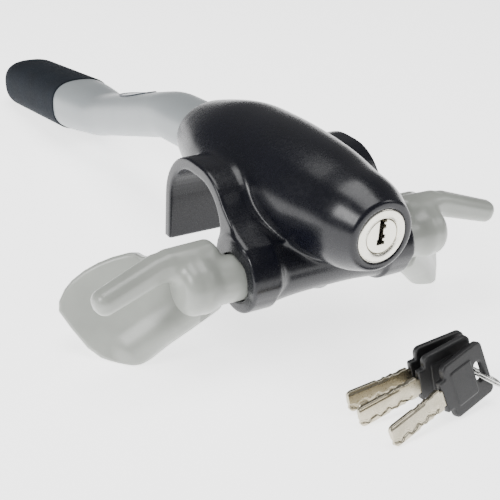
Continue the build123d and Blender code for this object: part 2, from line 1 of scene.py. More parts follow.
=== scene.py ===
"""Steering-wheel lock: cast head with a key lock, two hinged claws, a bent bar with a foam grip, three keys.

Lengths inside the classes are in millimetres and are turned to metres when a mesh is made.
The origin is the middle of the rim seat; +X runs along the rim channel, +Y to the grip, +Z up.
"""
from __future__ import annotations

import json
import logging
import math
from dataclasses import dataclass
from enum import Enum
from typing import Any, Callable, Sequence

import bpy
import numpy as np
from mathutils import Matrix, Vector

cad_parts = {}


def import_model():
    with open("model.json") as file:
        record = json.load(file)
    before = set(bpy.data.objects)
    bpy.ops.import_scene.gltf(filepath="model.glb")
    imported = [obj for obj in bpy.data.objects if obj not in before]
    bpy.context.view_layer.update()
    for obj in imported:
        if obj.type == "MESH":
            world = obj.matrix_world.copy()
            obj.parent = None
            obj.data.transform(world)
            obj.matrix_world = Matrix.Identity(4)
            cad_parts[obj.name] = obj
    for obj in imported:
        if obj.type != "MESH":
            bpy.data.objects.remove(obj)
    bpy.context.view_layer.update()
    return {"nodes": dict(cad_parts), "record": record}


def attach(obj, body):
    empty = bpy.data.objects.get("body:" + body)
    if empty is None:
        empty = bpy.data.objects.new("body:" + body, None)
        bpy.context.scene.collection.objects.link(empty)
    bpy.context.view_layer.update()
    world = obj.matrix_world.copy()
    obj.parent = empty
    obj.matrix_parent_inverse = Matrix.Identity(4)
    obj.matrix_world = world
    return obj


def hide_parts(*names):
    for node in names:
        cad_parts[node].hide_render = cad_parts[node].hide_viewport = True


LOG = logging.getLogger("wheel_lock")
MM = 0.001
Array = np.ndarray
Field = Callable[[Array, Array, Array], Array]


# ------------------------------------------------------------------ places that several pieces share
@dataclass(frozen=True)
class Layout:
    """Main dimensions, in millimetres."""

    half_width: float = 39.0
    pivot_y: float = -34.3
    pivot_z: float = -29.6
    lock_z: float = -2.9
    nose_y: float = -73.3
    tail_y: float = 56.0
    table_z: float = -65.6
    channel_half: float = 20.7
    channel_corner: float = 17.3


PLAN = Layout()


# ------------------------------------------------------------------ colour and node helpers
def linear(code: str) -> tuple[float, float, float, float]:
    """Turn an sRGB hex colour to linear RGBA.

    Args:
        code: six hex digits, such as "2b313c".

    Returns:
        The four linear channels, alpha 1.
    """
    channels = [int(code[i : i + 2], 16) / 255 for i in (0, 2, 4)]
    return (*[c / 12.92 if c <= 0.04045 else ((c + 0.055) / 1.055) ** 2.4 for c in channels], 1.0)


def add(
    tree: bpy.types.NodeTree, kind: str, links: dict[Any, Any] | None = None, **settings: Any
) -> bpy.types.Node:
    """Add a node, set its properties and sockets, and link its inputs.

    Args:
        tree: the node tree.
        kind: the node's type name without "ShaderNode".
        links: input name or index to an output socket, or to a plain value.
        **settings: properties of the node itself.

    Returns:
        The new node.
    """
    node = tree.nodes.new("ShaderNode" + kind)
    for name, value in settings.items():
        setattr(node, name, value)
    for name, value in (links or {}).items():
        if isinstance(value, bpy.types.NodeSocket):
            tree.links.new(value, node.inputs[name])
        else:
            node.inputs[name].default_value = value
    return node


def per_metre(size_mm: float) -> float:
    """Scale for a texture whose feature is size_mm across."""
    return 1000.0 / size_mm


# ------------------------------------------------------------------ finishes
@dataclass(frozen=True)
class Finish:
    """One real material: its colours, its shader values and its surface pattern.

    Attributes:
        name: the material's plain name.
        base: main colour, sRGB hex.
        tone: second colour that drifts through the base.
        metallic: 0 or 1.
        roughness: mean roughness.
        spread: how far the roughness drifts either way.
        grain_mm: size of the fine pattern.
        relief_mm: height of the fine pattern.
        drift_mm: size of the slow colour drift.
        ior: index of refraction, for what isn't metal.
        coat: clear coat weight.
        coat_roughness: roughness of the coat.
        sheen: sheen weight.
        stretch: how far the grain is drawn out along X, Y and Z.
        cells: add the small pits of a foam.
    """

    name: str
    base: str
    tone: str
    metallic: float = 0.0
    roughness: float = 0.5
    spread: float = 0.05
    grain_mm: float = 1.0
    relief_mm: float = 0.02
    drift_mm: float = 20.0
    ior: float = 1.5
    coat: float = 0.0
    coat_roughness: float = 0.1
    sheen: float = 0.0
    stretch: tuple[float, float, float] = (1.0, 1.0, 1.0)
    cells: bool = False

    def make(self) -> bpy.types.Material:
        """Build the node material.

        Returns:
            The new material.
        """
        material = bpy.data.materials.new(self.name)
        material.use_nodes = True
        tree = material.node_tree
        tree.nodes.clear()
        where = add(tree, "TexCoord").outputs["Object"]
        drawn = add(tree, "Mapping", {"Vector": where, "Scale": self.stretch}).outputs[0]
        drift = add(tree, "TexNoise", {"Vector": where, "Scale": per_metre(self.drift_mm), "Detail": 4.0})
        grain = add(tree, "TexNoise", {"Vector": drawn, "Scale": per_metre(self.grain_mm), "Detail": 5.0})
        blend = add(tree, "MapRange", {"Value": drift.outputs["Fac"], "From Min": 0.35, "From Max": 0.65})
        colour = add(
            tree,
            "Mix",
            {0: blend.outputs[0], 6: linear(self.base), 7: linear(self.tone)},
            data_type="RGBA",
        )
        polish = add(
            tree,
            "MapRange",
            {
                "Value": grain.outputs["Fac"],
                "From Min": 0.3,
                "From Max": 0.7,
                "To Min": max(self.roughness - self.spread, 0.02),
                "To Max": min(self.roughness + self.spread, 1.0),
            },
        )
        height = grain.outputs["Fac"]
        if self.cells:
            pores = add(tree, "TexVoronoi", {"Vector": drawn, "Scale": per_metre(self.grain_mm)})
            height = add(
                tree, "Math", {0: pores.outputs["Distance"], 1: grain.outputs["Fac"]}, operation="ADD"
            ).outputs[0]
        bump = add(tree, "Bump", {"Strength": 1.0, "Distance": self.relief_mm * MM, "Height": height})
        shader = add(
            tree,
            "BsdfPrincipled",
            {
                "Base Color": colour.outputs[2],
                "Roughness": polish.outputs[0],
                "Metallic": self.metallic,
                "Normal": bump.outputs[0],
                "Coat Weight": self.coat,
                "Coat Roughness": self.coat_roughness,
                "Sheen Weight": self.sheen,
            },
        )
        if not self.metallic:
            shader.inputs["IOR"].default_value = self.ior
        add(tree, "OutputMaterial", {"Surface": shader.outputs[0]})
        return material


class Finishes(Enum):
    """The finishes on this lock."""

    # Black stove enamel on cast zinc: deep satin gloss with a slight orange peel
    ENAMEL_BLACK = Finish(
        "stove_enamel_black", "0b0c13", "0e0f17", roughness=0.27, spread=0.04, grain_mm=1.6,
        relief_mm=0.003, drift_mm=25, ior=1.42, coat=0.05, coat_roughness=0.16,
    )
    # Light grey powder coat on steel tube: satin, fine even texture
    POWDER_GREY = Finish(
        "powder_coat_grey", "8c9193", "868b8d", roughness=0.38, spread=0.06, grain_mm=0.9,
        relief_mm=0.012, drift_mm=40, ior=1.5, coat=0.15, coat_roughness=0.3,
    )
    # Plate set into the bar: the same grey, a shade darker and smoother
    BADGE_GREY = Finish(
        "plate_enamel_grey", "868c8f", "808689", roughness=0.34, spread=0.05, grain_mm=0.5,
        relief_mm=0.006, drift_mm=12, ior=1.5, coat=0.2, coat_roughness=0.2,
    )
    # Dark ink-blue line enamel round the plate
    LINE_BLUE = Finish(
        "line_enamel_ink", "2f3742", "2a313b", roughness=0.4, spread=0.05, grain_mm=0.5,
        relief_mm=0.004, drift_mm=8, ior=1.5,
    )
    # Silver-grey paint over cast zinc: even, softly bright, rounded highlights
    SILVER_PAINT = Finish(
        "silver_paint", "989b95", "8d908a", roughness=0.34, spread=0.05, grain_mm=1.1, relief_mm=0.014,
        drift_mm=22, ior=1.55, coat=0.25, coat_roughness=0.25,
    )
    # Polished nickel on brass, turned
    NICKEL_TURNED = Finish(
        "turned_nickel", "e4e1d6", "dad7cc", metallic=1, roughness=0.27, spread=0.07, grain_mm=0.5,
        relief_mm=0.004, drift_mm=8,
    )
    # Closed-cell rubber foam: dark blue-grey, dull, finely pitted
    FOAM = Finish(
        "rubber_foam", "0d151e", "0a1119", roughness=0.9, spread=0.08, grain_mm=0.9, relief_mm=0.08,
        drift_mm=15, ior=1.35, cells=True,
    )
    # Nickel silver key blank, milled
    KEY_METAL = Finish(
        "nickel_silver", "bcb5a2", "ada693", metallic=1, roughness=0.32, spread=0.08, grain_mm=0.6,
        relief_mm=0.006, drift_mm=6,
    )
    # Moulded nylon key head
    NYLON = Finish(
        "moulded_nylon", "0c0c0e", "101012", roughness=0.5, spread=0.07, grain_mm=0.5, relief_mm=0.015,
        drift_mm=9, ior=1.53,
    )
    # Bright spring wire of the key ring
    WIRE = Finish(
        "nickel_wire", "cfcfcc", "bfbfbc", metallic=1, roughness=0.2, spread=0.05, grain_mm=0.8,
        relief_mm=0.003, drift_mm=6,
    )
    # Ground and turned tool steel, inside
    STEEL = Finish(
        "ground_steel", "9a9b9c", "8d8f91", metallic=1, roughness=0.35, spread=0.08, grain_mm=0.4,
        relief_mm=0.004, drift_mm=6,
    )
    # Sintered bronze bush, oil-filled
    BRONZE = Finish(
        "sintered_bronze", "9c7347", "8a6238", metallic=1, roughness=0.5, spread=0.1, grain_mm=0.4,
        relief_mm=0.01, drift_mm=5,
    )
    # Free-cutting brass lock pins
    BRASS = Finish(
        "lock_brass", "b79a5b", "a68a4e", metallic=1, roughness=0.3, spread=0.08, grain_mm=0.4,
        relief_mm=0.004, drift_mm=5,
    )


MATERIALS: dict[Finishes, bpy.types.Material] = {}


def dress(piece: bpy.types.Object, finish: Finishes) -> None:
    """Give a piece one finish over all of its slots."""
    if finish not in MATERIALS:
        MATERIALS[finish] = finish.value.make()
    piece.data.materials.clear()
    piece.data.materials.append(MATERIALS[finish])


# ------------------------------------------------------------------ signed distance building blocks
def soft_min(a: Array, b: Array, width: float) -> Array:
    """Union of two distances with a fillet about width wide."""
    h = np.maximum(width - np.abs(a - b), 0) / width
    return np.minimum(a, b) - h * h * width / 4


def soft_max(a: Array, b: Array, width: float) -> Array:
    """Intersection of two distances with an edge rounded over about width."""
    return -soft_min(-a, -b, width)


def outline_distance(u: Array, v: Array, points: Sequence[tuple[float, float]]) -> Array:
    """Signed distance from (u, v) to a closed outline, negative inside."""
    best = np.full(np.broadcast(u, v).shape, 1e9)
    inside = np.zeros(best.shape, bool)
    ends = list(points[1:]) + [points[0]]
    for (au, av), (bu, bv) in zip(points, ends):
        du, dv = bu - au, bv - av
        pu, pv = u - au, v - av
        t = np.clip((pu * du + pv * dv) / max(du * du + dv * dv, 1e-12), 0, 1)
        best = np.minimum(best, (pu - t * du) ** 2 + (pv - t * dv) ** 2)
        if av != bv:
            crosses = ((av > v) != (bv > v)) & (u < du * (v - av) / dv + au)
            inside ^= crosses
    return np.where(inside, -1.0, 1.0) * np.sqrt(best)


def box_distance(u: Array, v: Array, half_u: Array | float, half_v: Array | float, corner: float) -> Array:
    """Signed distance from (u, v) to a rectangle with rounded corners, centred on nought."""
    a, b = np.abs(u) - half_u + corner, np.abs(v) - half_v + corner
    return np.hypot(np.maximum(a, 0), np.maximum(b, 0)) + np.minimum(np.maximum(a, b), 0) - corner


def extruded(flat: Array, depth: Array, rounding: float) -> Array:
    """Distance to an extrusion with rounded edges, from its flat and depth distances."""
    a, b = flat + rounding, depth + rounding
    return np.minimum(np.maximum(a, b), 0) + np.hypot(np.maximum(a, 0), np.maximum(b, 0)) - rounding


def skin(
    name: str, shape: Field, low: Sequence[float], high: Sequence[float], step: float
) -> bpy.types.Object:
    """Mesh the zero surface of a distance function.

    Args:
        name: name of the piece.
        shape: distance function of x, y and z in millimetres.
        low: lowest corner of the box to search.
        high: highest corner of the box to search.
        step: grid step.

    Returns:
        The meshed piece.
    """
    axes = [np.arange(a, b + step, step) for a, b in zip(low, high)]
    values = shape(axes[0][:, None, None], axes[1][None, :, None], axes[2][None, None, :]) + np.zeros(
        [len(a) for a in axes]
    )
    solid = values < 0
    cells = tuple(n - 1 for n in values.shape)
    total, count = np.zeros((*cells, 3)), np.zeros(cells)
    base = np.stack(np.meshgrid(*[a[:-1] for a in axes], indexing="ij"), -1)
    for axis in range(3):
        first, second = [b for b in range(3) if b != axis]
        for i in (0, 1):
            for j in (0, 1):
                start = [slice(0, n) for n in cells]
                start[first] = slice(i, cells[first] + i)
                start[second] = slice(j, cells[second] + j)
                stop = list(start)
                stop[axis] = slice(1, cells[axis] + 1)
                a, b = values[tuple(start)], values[tuple(stop)]
                crosses = (a < 0) != (b < 0)
                t = np.where(crosses, a / np.where(crosses, a - b, 1), 0)
                offset = np.zeros((*cells, 3))
                offset[..., axis], offset[..., first], offset[..., second] = t * step, i * step, j * step
                total += np.where(crosses[..., None], base + offset, 0)
                count += crosses
    active = count > 0
    index = np.full(cells, -1)
    index[active] = np.arange(active.sum())
    points = total[active] / count[active][:, None]
    faces = []
    for axis in range(3):
        first, second = (axis + 1) % 3, (axis + 2) % 3
        low_side = [slice(1, n) for n in cells]
        low_side[axis] = slice(0, cells[axis])
        high_side = list(low_side)
        high_side[axis] = slice(1, cells[axis] + 1)
        a, b = solid[tuple(low_side)], solid[tuple(high_side)]
        for flip, mask in ((False, a & ~b), (True, ~a & b)):
            at = np.argwhere(mask)
            at[:, first] += 1
            at[:, second] += 1
            ring = []
            for i, j in ((0, 0), (-1, 0), (-1, -1), (0, -1)):
                where = at.copy()
                where[:, first] += i
                where[:, second] += j
                ring.append(index[tuple(where.T)])
            quad = np.stack(ring, 1)
            faces.append(quad[:, ::-1] if flip else quad)
    quads = np.concatenate(faces)
    for _ in range(3):
        distance, slope = at_points(shape, points)
        size = np.maximum((slope**2).sum(1), 0.2)
        points = points - np.clip(distance / size, -step / 2, step / 2)[:, None] * slope
    return mesh_piece(name, points, quads)


def at_points(shape: Field, points: Array) -> tuple[Array, Array]:
    """Distance and its slope at loose points."""
    reach = 0.05
    slope = np.empty_like(points)
    for axis in range(3):
        ahead, behind = points.copy(), points.copy()
        ahead[:, axis] += reach
        behind[:, axis] -= reach
        slope[:, axis] = (shape(*ahead.T) - shape(*behind.T)) / (2 * reach)
    return shape(*points.T), slope


def mesh_piece(name: str, points: Array, faces: Sequence[Sequence[int]]) -> bpy.types.Object:
    """Make an object of points in millimetres.

    Args:
        name: name of the object and its mesh.
        points: N by 3 positions in millimetres.
        faces: vertex indices of each face.

    Returns:
        The linked object.
    """
    mesh = bpy.data.meshes.new(name)
    mesh.from_pydata((np.asarray(points, float) * MM).tolist(), [], [list(map(int, f)) for f in faces])
    mesh.validate()
    mesh.update()
    mesh.shade_smooth()
    piece = bpy.data.objects.new(name, mesh)
    bpy.context.scene.collection.objects.link(piece)
    return piece


def lofted(name: str, rings: Sequence[Array], closed: bool = False) -> bpy.types.Object:
    """Skin a row of rings that all have the same number of points.

    Args:
        name: name of the piece.
        rings: the rings, each N by 3, in millimetres.
        closed: join the last ring to the first instead of capping both ends.

    Returns:
        The new piece.
    """
    count, size = len(rings), len(rings[0])
    faces: list[list[int]] = []
    for k in range(count if closed else count - 1):
        a, b = k * size, (k + 1) % count * size
        faces += [[a + i, a + (i + 1) % size, b + (i + 1) % size, b + i] for i in range(size)]
    if not closed:
        faces += [list(range(size))[::-1], [(count - 1) * size + i for i in range(size)]]
    return mesh_piece(name, np.concatenate(rings), faces)


def revolved(name: str, profile: Sequence[tuple[float, float]], size: int = 96) -> bpy.types.Object:
    """Turn a closed profile of (radius, y) round the lock's axis."""
    turn = np.linspace(0, 2 * math.pi, size, endpoint=False)
    rings = [
        np.array([(r * math.cos(t), y, PLAN.lock_z + r * math.sin(t)) for r, y in profile]) for t in turn
    ]
    return lofted(name, rings, closed=True)


def arc(cy: float, cz: float, r: float, start: float, end: float, count: int) -> list[tuple[float, float]]:
    """Points of an arc, angles in degrees."""
    return [
        (cy + r * math.cos(math.radians(a)), cz + r * math.sin(math.radians(a)))
        for a in np.linspace(start, end, count)
    ]


def hermite(
    a: tuple[float, float],
    ta: tuple[float, float],
    b: tuple[float, float],
    tb: tuple[float, float],
    count: int,
) -> list[tuple[float, float]]:
    """Points of a cubic between two points with set tangents."""
    points = []
    for t in np.linspace(0, 1, count):
        h = (2 * t**3 - 3 * t**2 + 1, t**3 - 2 * t**2 + t, -2 * t**3 + 3 * t**2, t**3 - t**2)
        points.append(tuple(h[0] * a[i] + h[1] * ta[i] + h[2] * b[i] + h[3] * tb[i] for i in (0, 1)))
    return points


# ------------------------------------------------------------------ bar, grip and badge
@dataclass(frozen=True)
class BarLine:
    """The bar's middle line and its flattened oval section.

    Attributes:
        start_y: where the bar begins, inside the head.
        root_z: height of the line there.
        root_slope: degrees down, out of the head.
        bends: the two bends, each with Y and Z.
        end: far end of the line.
        radius: radius of both bends.
        width: width of the front section; height is its height.
        rear_width: width of the section in the grip; rear_height is its height.
        power: how square the oval is; 2 is an ellipse.
        widening: Y where the section starts and stops growing.
    """

    start_y: float = 28.9
    root_z: float = -4.3
    root_slope: float = 4.6
    bends: tuple[tuple[float, float], ...] = ((92.4, -9.41), (172.7, -35.81))
    end: tuple[float, float] = (305.3, -53.5)
    radius: float = 50.0
    width: float = 27.5
    height: float = 22.4
    rear_width: float = 35.9
    rear_height: float = 28.5
    power: float = 2.6
    widening: tuple[float, float] = (158.0, 211.0)

    def slope_at(self, y: Array) -> Array:
        """Angle of the line below level, in radians."""
        points = [(self.start_y, self.root_z), *self.bends, self.end]
        angles = [math.atan2(a[1] - b[1], b[0] - a[0]) for a, b in zip(points, points[1:])]
        stations, values = [self.start_y], [angles[0]]
        for (bend_y, _), before, after in zip(self.bends, angles, angles[1:]):
            reach = self.radius * math.tan(abs(after - before) / 2)
            stations += [bend_y - reach, bend_y + reach]
            values += [before, after]
        return np.interp(y, stations, values)

    def height_at(self, y: Array) -> Array:
        """Z of the line at y."""
        steps = np.arange(self.start_y, self.end[0] + 0.5, 0.25)
        fall = np.concatenate([[0], np.cumsum(np.tan(self.slope_at(steps[:-1] + 0.125)) * 0.25)])
        return self.root_z - np.interp(y, steps, fall)

    def size_at(self, y: float) -> tuple[float, float]:
        """Width and height of the section at y."""
        t = min(max((y - self.widening[0]) / (self.widening[1] - self.widening[0]), 0), 1)
        t = t * t * (3 - 2 * t)
        wide = self.width + (self.rear_width - self.width) * t
        return wide, self.height + (self.rear_height - self.height) * t

    def ring(self, y: float, grow: float = 0.0, scale: float = 1.0, size: int = 96) -> Array:
        """Section of the bar at y, grown by grow millimetres or scaled."""
        wide, high = self.size_at(y)
        turn = np.linspace(0, 2 * math.pi, size, endpoint=False)
        bow = 2 / self.power
        across = (wide / 2 * scale + grow) * np.sign(np.cos(turn)) * np.abs(np.cos(turn)) ** bow
        up = (high / 2 * scale + grow) * np.sign(np.sin(turn)) * np.abs(np.sin(turn)) ** bow
        lean = float(self.slope_at(np.array(y)))
        z = float(self.height_at(np.array(y)))
        return np.stack([across, y + up * math.sin(lean), z + up * math.cos(lean)], 1)

    def top_at(self, x: float, y: float) -> tuple[float, float, float]:
        """Point of the upper surface above the line at y, x to the side."""
        wide, high = self.size_at(y)
        up = high / 2 * (1 - min(abs(x) * 2 / wide, 1) ** self.power) ** (1 / self.power)
        lean, z = float(self.slope_at(np.array(y))), float(self.height_at(np.array(y)))
        return x, y + up * math.sin(lean), z + up * math.cos(lean)


BAR = BarLine()


@dataclass
class Handle:
    """The long bar, its foam grip and the plain oval plate let into its top."""

    grip_start: float = 209.0
    cap_start: float = 286.8
    lip: float = 0.7
    roll: float = 1.4
    badge_y: float = 130.3
    badge_half: tuple[float, float] = (17.0, 7.5)
    badge_rows: tuple[tuple[float, float], ...] = (
        (0.0, 0.12), (0.5, 0.12), (0.82, 0.12), (0.86, 0.14), (0.88, 0.3), (1.0, 0.3),
    )
    line_rows: tuple[tuple[float, float], ...] = (
        (0.875, -0.1), (0.885, 0.42), (0.91, 0.55), (0.96, 0.55), (0.985, 0.4), (1.0, -0.4),
    )

    def bar(self) -> bpy.types.Object:
        """Mesh the bar, from its root in the head to its end inside the grip."""
        stations = list(np.arange(BAR.start_y, self.grip_start + 8, 1.5))
        rings = [BAR.ring(y) for y in stations]
        inside = [BAR.ring(self.grip_start + 8.0, grow=-4.0), BAR.ring(self.cap_start, grow=-4.0)]
        piece = lofted("handle_bar_tube", rings + inside)
        dress(piece, Finishes.POWDER_GREY)
        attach(piece, "housing")
        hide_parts("handle_bar")
        return piece

    def grip(self) -> bpy.types.Object:
        """Mesh the foam grip: a sleeve with a rolled front lip and a rounded blind end."""
        rings = [BAR.ring(self.grip_start + 6.0, grow=-0.4)]
        for t in np.linspace(-90, 90, 9)[1:]:
            turn = math.radians(t)
            y = self.grip_start + self.roll - self.roll * math.cos(turn)
            rings.append(BAR.ring(y, grow=self.lip * (0.5 + 0.5 * math.sin(turn))))
        for y in np.arange(self.grip_start + 4, self.cap_start, 3.0):
            rings.append(BAR.ring(float(y), grow=self.lip))
        length = BAR.end[0] - self.cap_start
        for t in np.linspace(0, 88, 22):
            turn = math.radians(t)
            y = self.cap_start + length * math.sin(turn)
            rings.append(BAR.ring(y, grow=self.lip * math.cos(turn), scale=math.cos(turn) ** 0.62))
        piece = lofted("foam_grip", rings)
        dress(piece, Finishes.FOAM)
        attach(piece, "housing")
        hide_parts("grip_sleeve", "grip_end_cap")
        return piece

    def oval(self, name: str, rows: tuple[tuple[float, float], ...], finish: Finishes) -> bpy.types.Object:
        """Mesh one oval layer over the bar's top from rows of (share of the size, rise)."""
        turn = np.linspace(0, 2 * math.pi, 96, endpoint=False)
        points, faces, size = [], [], len(turn)
        for share, rise in rows:
            for t in turn:
                x = self.badge_half[1] * share * math.sin(t)
                y = self.badge_y + self.badge_half[0] * share * math.cos(t)
                px, py, pz = BAR.top_at(x, y)
                points.append((px, py, pz + rise))
        for k in range(len(rows) - 1):
            a, b = k * size, (k + 1) * size
            faces += [[b + i, b + (i + 1) % size, a + (i + 1) % size, a + i] for i in range(size)]
        piece = mesh_piece(name, np.array(points), faces)
        dress(piece, finish)
        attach(piece, "housing")
        return piece

    def badge(self) -> list[bpy.types.Object]:
        """Mesh the oval plate's plain field and the dark line round it."""
        field_piece = self.oval("oval_plate", self.badge_rows, Finishes.BADGE_GREY)
        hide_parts("oval_badge")
        return [field_piece, self.oval("oval_plate_line", self.line_rows, Finishes.LINE_BLUE)]

    def build(self) -> list[bpy.types.Object]:
        """Make all three pieces."""
        return [self.bar(), self.grip(), *self.badge()]


# ------------------------------------------------------------------ casting
@dataclass
class Casting:
    """The black head: a bullet over a saddle, with a barrel for the claws' shaft."""

    seat_wall: float = 5.6
    rear_wall: float = 5.2
    leg_drop: float = 37.9
    boss_radius: float = 14.9
    boss_length: float = 12.0
    waist_radius: float = 12.2
    flare: float = 1.5
    bore: float = 8.5
    root_radius: float = 9.9
    root_depth: float = 6.4
    lock_radius: float = 11.05
    bolt_bore: float = 4.9
    pocket_z: float = 8.7
    plug_radius: float = 5.6
    pin_holes: tuple[tuple[float, float], ...] = ((42.0, 2.5), (-64.3, 2.0))
    socket_gap: float = 0.15
    edge: float = 1.1
    melt: float = 5.0
    tail_flatness: float = 0.79
    axis_fall: float = 2.1
    grid: float = 0.75
    profile: tuple[tuple[float, float], ...] = (
        (-73.3, 14.1), (-63.3, 18.5), (-48.3, 21.3), (-34.3, 24.0), (-14.3, 26.2), (7.7, 27.2), (27.7, 26.5),
        (43.7, 22.5), (56.0, 18.2),
    )

    def saddle(self) -> list[tuple[float, float]]:
        """Outer outline of the saddle in the YZ plane, from the rear leg's foot over the top."""
        corner_y = PLAN.channel_half - PLAN.channel_corner
        radius = PLAN.channel_corner + self.seat_wall
        rear = PLAN.channel_half + self.rear_wall
        lean = math.radians(40)
        brow = (-corner_y - radius * math.cos(lean), self.seat_wall - radius * (1 - math.sin(lean)))
        rise = math.radians(112)
        cheek = (
            PLAN.pivot_y + self.boss_radius * math.cos(rise),
            PLAN.pivot_z + self.boss_radius * math.sin(rise),
        )
        swing = 17.0
        points = [(PLAN.channel_half - 6, -self.leg_drop), (rear, -self.leg_drop)]
        points += arc(rear - radius, self.seat_wall - radius, radius, 0, 90, 14)
        points += arc(-corner_y, self.seat_wall - radius, radius, 90, 140, 9)
        points += hermite(
            brow, (-math.sin(lean) * swing, -math.cos(lean) * swing), cheek,
            (-math.sin(rise) * swing, math.cos(rise) * swing), 12,
        )[1:]
        points += [(PLAN.pivot_y, PLAN.pivot_z - 4), (-PLAN.channel_half + 4, PLAN.pivot_z - 5)]
        points += [(-PLAN.channel_half + 6, -10), (PLAN.channel_half - 6, -10)]
        return points

    def channel(self) -> list[tuple[float, float]]:
        """Outline of the rim channel, open below."""
        half, corner = PLAN.channel_half, PLAN.channel_corner
        return (
            [(half, -90.0)]
            + arc(half - corner, -corner, corner, 0, 90, 12)
            + arc(corner - half, -corner, corner, 90, 180, 12)
            + [(-half, -90.0)]
        )

    def shape(self, x: Array, y: Array, z: Array) -> Array:
        """Distance to the whole casting."""
        across = np.abs(x)
        from_shaft = np.hypot(y - PLAN.pivot_y, z - PLAN.pivot_z)
        saddle = extruded(outline_distance(y, z, self.saddle()), across - PLAN.half_width, self.edge)
        inner = PLAN.half_width - self.boss_length
        boss = extruded(from_shaft - self.boss_radius, np.abs(across - (PLAN.half_width + inner) / 2)
                        - self.boss_length / 2, self.edge)
        waist = self.waist_radius + self.flare * np.clip(across / inner, 0, 1) ** 3
        barrel = np.maximum(from_shaft - waist, across - PLAN.half_width + 2)
        below = np.clip((PLAN.pivot_z - z) / 6, 0, 1)
        body = soft_min(saddle, soft_min(barrel, boss, self.melt * (1.15 - below)), self.melt)
        share = (y - PLAN.nose_y) / (PLAN.tail_y - PLAN.nose_y)
        wide = self.radius_at(y)
        high = wide * (1 - (1 - self.tail_flatness) * share)
        middle = PLAN.lock_z - self.axis_fall * share
        head = (np.hypot(x / wide, (z - middle) / high) - 1) * high
        head = extruded(head, PLAN.nose_y - y, self.edge)
        head = soft_max(head, y - PLAN.tail_y, 3.5)
        body = soft_min(body, head, 3.0)
        body = soft_max(body, -outline_distance(y, z, self.channel()), 1.6)
        shaft = np.minimum(from_shaft - self.bore, np.maximum(from_shaft - self.root_radius,
                           PLAN.half_width - self.root_depth - across))
        body = soft_max(body, -shaft, 0.8)
        lock = np.maximum(np.hypot(x, z - PLAN.lock_z) - self.lock_radius, y - (PLAN.nose_y + 40))
        from_bolt = np.hypot(x, y - PLAN.pivot_y)
        chamber = np.maximum(from_bolt - self.bolt_bore, z - self.pocket_z)
        body = soft_max(body, -np.minimum(lock, np.maximum(chamber, PLAN.pivot_z - z)), 0.5)
        plug = np.maximum(from_bolt - self.plug_radius, z - PLAN.pivot_z)
        pins = np.minimum(*(np.hypot(x, y - at) - radius for at, radius in self.pin_holes))
        plug = np.minimum(plug, np.maximum(pins, z - PLAN.lock_z))
        drop = z - BAR.root_z + (y - BAR.start_y) * math.tan(math.radians(BAR.root_slope))
        half_wide, half_high = BAR.width / 2 + self.socket_gap, BAR.height / 2 + self.socket_gap
        socket = box_distance(x, drop, half_wide, half_high, BAR.height * 0.45)
        return np.maximum(body, -np.minimum(plug, np.maximum(socket, BAR.start_y - y)))

    def radius_at(self, y: Array) -> Array:
        """Radius of the head at y, a smooth curve through the profile."""
        ys, rs = (np.array(v) for v in zip(*self.profile))
        slopes = np.gradient(rs, ys)
        i = np.clip(np.searchsorted(ys, y) - 1, 0, len(ys) - 2)
        span = ys[i + 1] - ys[i]
        t = np.clip((y - ys[i]) / span, -0.3, 1.3)
        return (
            (2 * t**3 - 3 * t**2 + 1) * rs[i]
            + (t**3 - 2 * t**2 + t) * slopes[i] * span
            + (3 * t**2 - 2 * t**3) * rs[i + 1]
            + (t**3 - t**2) * slopes[i + 1] * span
        )

    def build(self) -> bpy.types.Object:
        """Mesh and dress the casting."""
        piece = skin("head_casting", self.shape, (-41, -76, -47), (41, 58, 26), self.grid)
        dress(piece, Finishes.ENAMEL_BLACK)
        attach(piece, "housing")
        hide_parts("casting")
        return piece


# ------------------------------------------------------------------ claws
class Side(Enum):
    """Which end of the cross shaft a claw is on."""

    LEFT = -1
    RIGHT = 1


